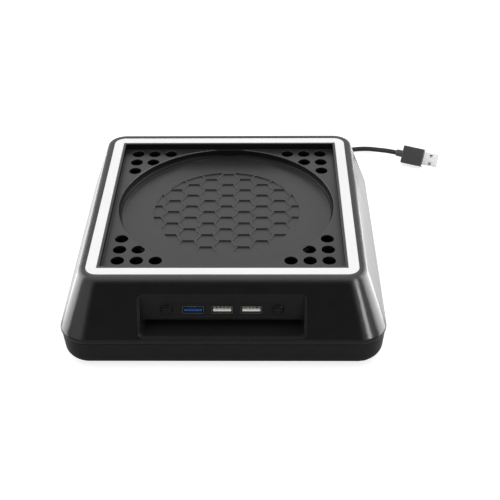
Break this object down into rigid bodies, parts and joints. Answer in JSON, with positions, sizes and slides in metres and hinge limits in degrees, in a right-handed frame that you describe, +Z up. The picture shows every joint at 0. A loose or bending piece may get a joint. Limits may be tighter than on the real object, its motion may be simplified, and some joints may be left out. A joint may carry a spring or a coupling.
{
  "type": "console cooling stand",
  "caption": "Square cooling stand for a tall game console: dished tray with corner air holes, lit frame, inner fan, front pocket of USB ports and buttons, short USB lead.",
  "frame": {"origin": "on the table under the middle of the stand", "axes": "+Z up, the front with the ports faces -Y, +X to the right seen from the front"},
  "size_m": [0.2715, 0.2763, 0.0615],
  "materials": {
    "black_plastic": "satin moulded ABS",
    "base_plastic": "fine-grained moulded ABS",
    "tray_plastic": "fine-grained moulded ABS",
    "panel_plastic": "fine-grained moulded ABS",
    "button_plastic": "polished moulded ABS",
    "lit_diffuser": "milky light-guide plastic",
    "circuit_board": "green solder mask",
    "led_white": "phosphor-filled LED package",
    "switch_black": "moulded nylon",
    "plated_steel": "nickel-plated sheet steel",
    "socket_blue": "moulded nylon",
    "socket_white": "moulded nylon",
    "screw_steel": "zinc-plated steel",
    "fan_plastic": "glass-filled PBT",
    "magnet_ferrite": "bonded ferrite",
    "bearing_bronze": "sintered bronze",
    "core_steel": "stacked laminations",
    "copper_wire": "enamelled copper windings",
    "foot_rubber": "moulded rubber",
    "cord_jacket": "satin PVC jacket",
    "plug_plastic": "overmoulded PVC"
  },
  "bodies": {
    "stand": {"base_shell": "base_plastic", "board_parts": "switch_black", "board_screws": "screw_steel", "fan_bearing": "bearing_bronze", "fan_coils": "copper_wire", "fan_frame": "fan_plastic", "fan_lead": "cord_jacket", "fan_screws": "screw_steel", "fan_stator": "core_steel", "front_left_foot": "foot_rubber", "front_right_foot": "foot_rubber", "housing_screws": "screw_steel", "hub_board": "circuit_board", "led_board": "circuit_board", "led_lead": "cord_jacket", "leds": "led_white", "light_frame": "lit_diffuser", "light_switch": "switch_black", "motor_board": "circuit_board", "plug_body": "plug_plastic", "plug_shell": "plated_steel", "plug_tongue": "socket_white", "port_panel": "panel_plastic", "power_lead": "cord_jacket", "power_switch": "switch_black", "rear_left_foot": "foot_rubber", "rear_right_foot": "foot_rubber", "strain_relief": "cord_jacket", "tray": "tray_plastic", "tray_screws": "screw_steel", "upper_housing": "black_plastic", "usb_cable": "cord_jacket", "usb_shell_left": "plated_steel", "usb_shell_middle": "plated_steel", "usb_shell_right": "plated_steel", "usb_tongue_left": "socket_blue", "usb_tongue_middle": "socket_white", "usb_tongue_right": "socket_white"},
    "rotor": {"fan_rotor": "fan_plastic", "fan_magnet": "magnet_ferrite", "fan_shaft": "screw_steel"},
    "power_button": {"power_button": "button_plastic"},
    "light_button": {"light_button": "button_plastic"}
  },
  "joints": [
    {"name": "fan_spin", "type": "hinge", "parent": "stand", "child": "rotor", "pos_m": [0, 0, 0.016], "axis": [0, 0, 1], "continuous": true},
    {"name": "power_button_press", "type": "slide", "parent": "stand", "child": "power_button", "axis": [0, 1, 0], "range_m": [0, 0.0008], "stiffness_N_per_m": 800},
    {"name": "light_button_press", "type": "slide", "parent": "stand", "child": "light_button", "axis": [0, 1, 0], "range_m": [0, 0.0008], "stiffness_N_per_m": 800}
  ]
}
